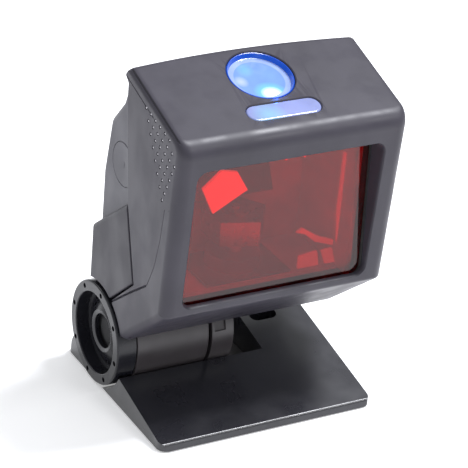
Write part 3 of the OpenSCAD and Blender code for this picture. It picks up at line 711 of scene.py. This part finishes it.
def rear_cradle():
    back, gap = CRADLE_BACK, 0.7
    stop = math.degrees(math.acos(back / TROUGH_R))
    trough = arc(TROUGH_R, CHEEK_ANGLE - 2.4, stop, TROUGH_STEPS)
    points = [add(HOOD_REAR, (gap, 0)), add(CRADLE_NOTCH, (gap, 0)), *trough, (back, CRADLE_TOP)]
    radii = [0.4, 0.4] + [0] * TROUGH_STEPS + [0.6, 1.8]
    rounds = [0.4, 0.6] + [0.001] * TROUGH_STEPS + [3.0, 2.2]
    shell = moulding("rear_cradle_shell", points, radii, rounds, HALF, 1, None, 6, RIGHT_EXTRA)
    inner = [(-40, 90), (-40, 41)] + arc(TROUGH_R + WALL, CHEEK_ANGLE, 70, 8) + [(6.9, 41), (6.9, 90)]
    carve(shell, prism("cut", inner, -HALF + WALL + 0.1, HALF - WALL - 0.1))
    low, high = box_mm("saddle_plate")
    y0, y1 = low.y - HINGE_Y - 0.6, high.y - HINGE_Y + 0.6
    carve(shell, prism("cut", [(y0, 30), (y1, 30), (y1, 50), (y0, 50)], low.x + 1.8, high.x - 1.8))
    low, high = box_mm("lead_socket")
    mid = (low + high) / 2
    z0, z1 = mid.z - 4.4, mid.z + 4.4
    carve(shell, prism("cut", [(0, z0), (20, z0), (20, z1), (0, z1)], mid.x - 6.3, mid.x + 6.3))
    for x in SCREWS_X:
        place = Matrix.Translation(point(x, back, SCREW_Z)) @ Matrix.Rotation(-math.pi / 2, 4, "X")
        carve(shell, lathe("cut", SCREW_SEAT, place, 32))
    soften(shell, 0.2, 2)
    return stands_for(shell, mat_cradle, "cover_plastic", "head", "rear_cradle")


rear_cradle()


# ------------------------------------------------------------------------ base
BASE_APEX_Y, BASE_CORNER_R = 13.0, 3.5
BASE_WALL = 1.8
DRAFT = 0.045           # taper of the base's sides, per mm of height
BOSSES, BOSS_R = [(-34, -30), (34, -30), (34, 8)], 2.8


def base_profile(inset):
    front = (-BASE_FRONT + 0.7, BASE_EDGE_H)
    apex = (BASE_APEX_Y, BASE_EDGE_H + BASE_SLOPE * (BASE_APEX_Y - front[0]))
    points = [(-BASE_FRONT, FOOT_GAP), (BASE_REAR, FOOT_GAP), apex, front]
    return offset(points, [0, 0, 4, 1.2], [0, inset, 0, inset], 8)


def base_solid(name, inset):
    solid = prism(name, base_profile(inset), -BASE_HALF + inset, BASE_HALF - inset)
    plan = box_outline(2 * (BASE_HALF - inset), BASE_FRONT + BASE_REAR - 2 * inset,
                       BASE_CORNER_R - inset, 10)
    place = Matrix.Translation(point(0, (BASE_REAR - BASE_FRONT) / 2, 0))
    return carve(solid, plate("cut", plan, -5, 40, place), operation="INTERSECT")


def base_plate():
    base = base_solid("base_shell", 0)
    for v in base.data.vertices:
        lift = max(v.co.z / MM - FOOT_GAP, 0)
        v.co.x *= 1 - DRAFT * lift / BASE_HALF
    soften(base, 0.9, 5, 40)
    hollow = base_solid("cut", BASE_WALL)
    for v in hollow.data.vertices:
        v.co.z -= BASE_WALL * MM
    carve(hollow, rod("cut", TROUGH_R + BASE_WALL, -BASE_HALF, TROUGH_RIGHT + BASE_WALL))
    slot_place = Matrix.Translation(point(*SLOT_MID, 0))
    slot_wall = 1.3
    around_slot = stadium(*(size + 2 * slot_wall for size in SLOT_SIZE))
    carve(hollow, plate("cut", around_slot, -2, 30, slot_place))
    boss = [(0, 1.5), (BOSS_R, 1.5), (BOSS_R, 30), (0, 30)]
    for x, y in BOSSES:
        carve(hollow, lathe("cut", boss, Matrix.Translation(point(x, y, 0)), 32))
    carve(base, hollow)
    carve(base, rod("cut", TROUGH_R, -BASE_HALF - 2, TROUGH_RIGHT, 128))
    carve(base, plate("cut", stadium(*SLOT_SIZE), -2, 30, slot_place))
    soften(base, 0.22, 2, 45)
    return stands_for(base, mat_base, "base_plastic", "stand", "base_plate")


base_plate()


# ------------------------------------------------------------------------- ear
EAR_R, EAR_FOOT_TOP, EAR_BOTTOM = 19.2, 9, FOOT_GAP + 0.2
BOLT_HOLE_R, NUT_R, NUT_DEPTH = 4.05, 7.6, 4
NOTCH_ANGLES, NOTCH_DEPTH = (171, 150), 0.5
FOOT_PLATE_HALF, FOOT_PLATE_TOP = 6.1, FOOT_GAP + 1.5
FOOT_HOLE, FOOT_HOLE_R = (5.6, -3.4), 1.6


def slab(half, low, high):
    """A [y, z] rectangle about the hinge, half mm each way."""
    return [(-half, low), (half, low), (half, high), (-half, high)]


def hinge_ear():
    ends = (EAR_LEFT - 1, EAR_RIGHT + 1)
    ear = rod("ear", EAR_R, EAR_LEFT, EAR_RIGHT, 128)
    foot = rod("cut", TROUGH_R, EAR_LEFT, EAR_RIGHT, 128)
    carve(foot, prism("cut", slab(40, 0, EAR_FOOT_TOP), *ends), operation="INTERSECT")
    carve(ear, foot, operation="UNION")
    carve(ear, prism("cut", slab(40, -20, EAR_BOTTOM), *ends))
    carve(ear, rod("cut", BOLT_HOLE_R, *ends, 64))
    hexagon = [on_circle(NUT_R, 60 * i) for i in range(6)]
    carve(ear, prism("cut", hexagon, EAR_RIGHT - NUT_DEPTH, EAR_RIGHT + NUT_DEPTH))
    start, stop = NOTCH_ANGLES
    floor_r = EAR_R - NOTCH_DEPTH
    notch = arc(EAR_R + 1, start, stop, 6) + [on_circle(floor_r, stop), on_circle(floor_r, start)]
    carve(ear, prism("cut", notch, EAR_LEFT + 0.9, EAR_LEFT + 5.2))
    foot_plate = slab(FOOT_PLATE_HALF, EAR_BOTTOM, FOOT_PLATE_TOP)
    carve(ear, prism("cut", foot_plate, EAR_RIGHT - 1, TROUGH_RIGHT - 0.3), operation="UNION")
    hole = [(0, 0), (FOOT_HOLE_R, 0), (FOOT_HOLE_R, 5), (0, 5)]
    carve(ear, lathe("cut", hole, Matrix.Translation(point(*FOOT_HOLE, 0)), 32))
    soften(ear, 0.25, 3, 40)
    return stands_for(ear, mat_barrel, "base_plastic", "stand", "hinge_ear")


hinge_ear()


# --------------------------------------------------------------- button, lens
def button_cap():
    """A lit cup: a thin rim, a deep blue wall whose glow is partly painted light, a pale ledge and a
    shallow bowl.
    """
    cap_r, flange_r, bottom = BUTTON_R - 0.3, BUTTON_R + 0.7, -3.15
    wall_foot, bowl_r, ledge_z, n = 10.45, 8.6, -2.0, 12
    outside = [(0, bottom), (flange_r, bottom), (flange_r, -2.05), (cap_r, -2.05), (cap_r, -0.45)]
    wall = [(cap_r - 0.12, -0.3), (cap_r - 0.35, -0.35), (wall_foot, ledge_z)]
    ledge = [(wall_foot - 0.15, ledge_z - 0.08), (bowl_r, ledge_z - 0.2)]
    bowl = [(bowl_r * (1 - i / n), ledge_z - 0.2 - 0.6 * math.sin(math.pi / 2 * i / n))
            for i in range(1, n + 1)]
    cap = lathe("button", outside + wall + ledge + bowl, on_top(), 128)
    soften(cap, 0)
    stands_for(cap, mat_button, "button_clear", "mode_button", "button_cap")
    cap.data.materials.append(mat_wall)
    cap.data.materials.append(mat_ledge)
    to_local = on_top().inverted()
    for face in cap.data.polygons:
        middle = to_local @ face.center / MM
        r = math.hypot(middle.x, middle.y)
        if r > wall_foot:
            face.material_index = 1
        elif r > bowl_r and middle.z > bottom + 0.1:
            face.material_index = 2


def indicator_lens():
    fit, flange, flange_z = 0.3, 1.4, -2.4
    steps = [(-3.4, flange), (flange_z, flange), (flange_z, -fit), (-0.45, -fit), (-0.2, -fit - 0.5),
             (-0.12, -fit - 1.4)]
    rings = [(z, stadium(LENS_LEN + grow, LENS_W + grow)) for z, grow in steps]
    lens = tapered("indicator", rings, on_top(LENS_DROP))
    soften(lens, 0.08, 2)
    return stands_for(lens, mat_lens, "lens_clear", "head", "indicator_lens")


button_cap()
indicator_lens()


# ------------------------------------------------- fixed mirrors in the window
def glass_plates(name, mat, outlines, y, *nodes):
    """Thin upright mirrors behind the filter, each from an [x, z] outline."""
    bm = bmesh.new()
    for outline in outlines:
        front, rear = ([bm.verts.new(point(x, y + dy, z)) for x, z in outline] for dy in (0, 1.2))
        n = len(outline)
        for i in range(n):
            bm.faces.new((front[i], front[(i + 1) % n], rear[(i + 1) % n], rear[i]))
        bm.faces.new(front)
        bm.faces.new(rear)
    plates = make(name, bm)
    soften(plates, 0.15, 2)
    stands_for(plates, mat, "mirror", "head", *nodes)


# The mirrors' glow is painted reflection: the bright surroundings seen in the mirrors through the filter.
# The dimmer copy paints the fainter patches.
mat_fold_painted_reflection = lit_plastic("fold_mirror_painted_reflection", (0.85, 0.85, 0.85), (0.85, 0.75, 0.75), 1.0)
mat_dim_painted_reflection = lit_plastic("far_mirror_painted_reflection", (0.4, 0.4, 0.4), (0.34, 0.30, 0.30), 1.0)
glass_plates("fan_mirrors", mat_fold_painted_reflection, [
    [(-20.8, 84.2), (-14.3, 89.9), (-8.3, 88.6), (-3.9, 81.3), (-16.3, 74.6)],
    [(14, 93), (18, 93), (17, 89.5)], [(7, 92), (11, 92.5), (10, 89.5)]], -30, "top_mirrors")
glass_plates("side_strips", mat_dim_painted_reflection, [
    [(31.5, 89.4), (33.2, 89.2), (32.6, 66), (33.9, 53), (32.6, 53.2), (31.2, 68)]], -31, "side_mirrors")
glass_plates("lower_mirrors", mat_dim_painted_reflection, [
    [(26.6, 53.4), (30.9, 53.7), (32.4, 48.2), (28.6, 48.2)],
    [(18, 52.9), (25, 53.7), (26, 48.2), (17.9, 48.2)],
    [(15.9, 62.2), (19.2, 61.2), (23.4, 57.6), (30.8, 54.9), (31, 56.8), (24.6, 59.4), (18.3, 63.6)]],
    -31, "floor_mirror")

# ------------------------------------------------------- finishes of CAD nodes
FINISH = {
    mat_base: ["bottom_cover"],
    mat_iron: ["base_weight"],
    mat_rubber: ["rubber_feet", "friction_washer", "window_gasket", "speaker_gasket"],
    mat_steel: ["base_screws", "ear_screws", "saddle_plate", "saddle_screws", "cradle_screws",
                "disc_spring", "chassis_screws", "rotor_shaft", "board_screws"],
    # The pivot bolt and ring bush are dark so that the ring's bore reads black: painted shade in the bore.
    mat_dark: ["pivot_bolt", "ring_bush", "laser_clamp"],
    mat_motor: ["scan_motor"],
    mat_ring: ["clamp_ring"],
    mat_barrel: ["hinge_drum"],
    mat_brass: ["laser_module"],
    mat_housing: ["side_plugs"],
    mat_filter: ["window_filter"],
    mat_inner: ["speaker", "lead_socket", "button_switch", "button_stem"],
    mat_frame: ["optics_chassis"],
    mat_mirror: ["scan_polygon"],
    mat_collect: ["collecting_mirror"],
    mat_board: ["detector_board", "motor_board", "main_board", "button_board"],
    mat_led: ["indicator_leds"],
}
for mat, names in FINISH.items():
    for name in names:
        dress(frame["nodes"][name], mat)


# ------------------------------------------------------------ floor and lights
def floor():
    bm = bmesh.new()
    bmesh.ops.create_grid(bm, x_segments=8, y_segments=8, size=3.0)
    sheet = make("floor", bm)
    p = Paint("floor", (0.93, 0.93, 0.94), 0.55, Emission_Color=(1, 1, 1, 1), Emission_Strength=0.33)
    p.set("Base Color", p.ramp(p.noise(3, 2), (0.92, 0.92, 0.93), (0.95, 0.95, 0.96)))
    p.bump(p.noise(500, 3), 0.00002, 0.2)
    dress(sheet, p.mat)


def lamp(name, place, target, size, power, color=(1, 1, 1)):
    """A soft box at a place, turned to a target, all in metres."""
    data = bpy.data.lights.new(name, "AREA")
    data.shape = "RECTANGLE"
    data.size, data.size_y = size
    data.energy = power
    data.color = color
    lamp_object = bpy.data.objects.new(name, data)
    lamp_object.location = place
    lamp_object.rotation_euler = (Vector(target) - Vector(place)).to_track_quat("-Z", "Y").to_euler()
    scene.collection.objects.link(lamp_object)


def sky(color, strength):
    world = bpy.data.worlds.new("studio")
    world.use_nodes = True
    background = world.node_tree.nodes["Background"]
    background.inputs["Color"].default_value = (*color, 1)
    background.inputs["Strength"].default_value = strength
    scene.world = world


def button_glow():
    """The blue light that falls on the top between the button and the lens."""
    glow = bpy.data.lights.new("button_glow", "POINT")
    glow.energy = 0.0011
    glow.color = (0.04, 0.20, 1.0)
    glow.shadow_soft_size = 0.0008
    glow_object = bpy.data.objects.new("button_glow", glow)
    glow_object.location = on_top() @ (Vector((0.6, -10.6, 1.6)) * MM)
    glow_object.visible_camera = False
    scene.collection.objects.link(glow_object)


floor()
sky((0.95, 0.97, 1.0), 0.64)
lamp("key", (0.38, -0.06, 0.90), (-0.02, -0.03, 0.10), (0.26, 0.26), 11.0, (0.94, 0.95, 1.0))
lamp("front", (0.40, -0.60, 0.66), (0, 0, 0.03), (0.5, 0.05), 1.8)
lamp("rim", (-0.42, 0.62, 0.62), (0, 0, 0.06), (0.30, 0.20), 0.3)
button_glow()
scene.view_settings.view_transform = "Standard"

# ---------------------------------------------------------------------- camera
AZIMUTH, ELEVATION, ROLL = (math.radians(a) for a in (-30.97, 27.45, 5.04))
DISTANCE, FOCAL_MM = 0.79385, 176.54
TARGET = point(10.28, 0, 47.55)
camera_data = bpy.data.cameras.new("camera")
camera_data.sensor_width = 36
camera_data.lens = FOCAL_MM
camera_data.clip_start, camera_data.clip_end = 0.05, 20
camera = bpy.data.objects.new("camera", camera_data)
back = Vector((math.sin(AZIMUTH) * math.cos(ELEVATION), -math.cos(AZIMUTH) * math.cos(ELEVATION),
               math.sin(ELEVATION)))
camera.location = TARGET + back * DISTANCE
level = back.to_track_quat("Z", "Y").to_matrix().to_4x4()
camera.rotation_euler = (level @ Matrix.Rotation(ROLL, 4, "Z")).to_euler()
scene.collection.objects.link(camera)
scene.camera = camera
